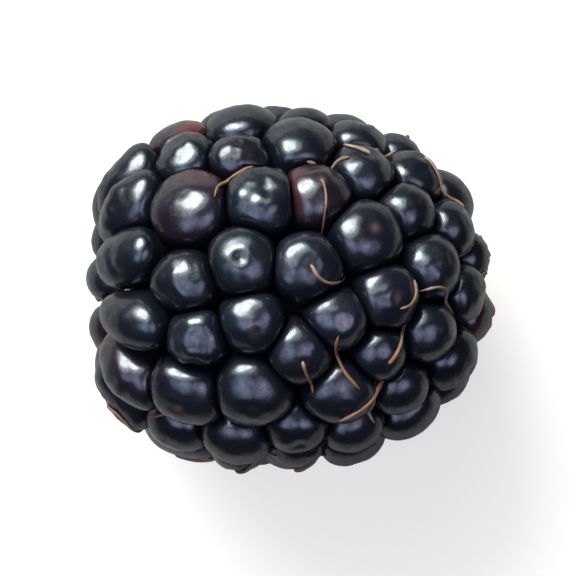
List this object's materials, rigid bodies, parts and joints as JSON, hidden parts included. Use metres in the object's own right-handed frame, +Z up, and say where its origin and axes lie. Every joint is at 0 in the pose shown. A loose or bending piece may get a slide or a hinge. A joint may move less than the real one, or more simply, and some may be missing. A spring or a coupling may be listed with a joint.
{
  "type": "bramble berry",
  "caption": "Ripe bramble berry as picked, lying on its side: glossy near-black drupelets round a pale torn plug of pith at the stem end.",
  "frame": {"origin": "middle of the berry's footprint on the surface that it rests on", "axes": "+X along the berry from its stem end to its tip, which dips by about 5 degrees; +Z up"},
  "size_m": [0.0258, 0.023, 0.0227],
  "materials": {
    "drupelet_skin": "taut waxy skin, near-black with a blue-violet cast, glossy",
    "dried_pith": "dry fibrous pith, cream to tan, matt"
  },
  "bodies": {
    "root": {"drupelets": "drupelet_skin", "receptacle": "dried_pith"}
  },
  "joints": []
}
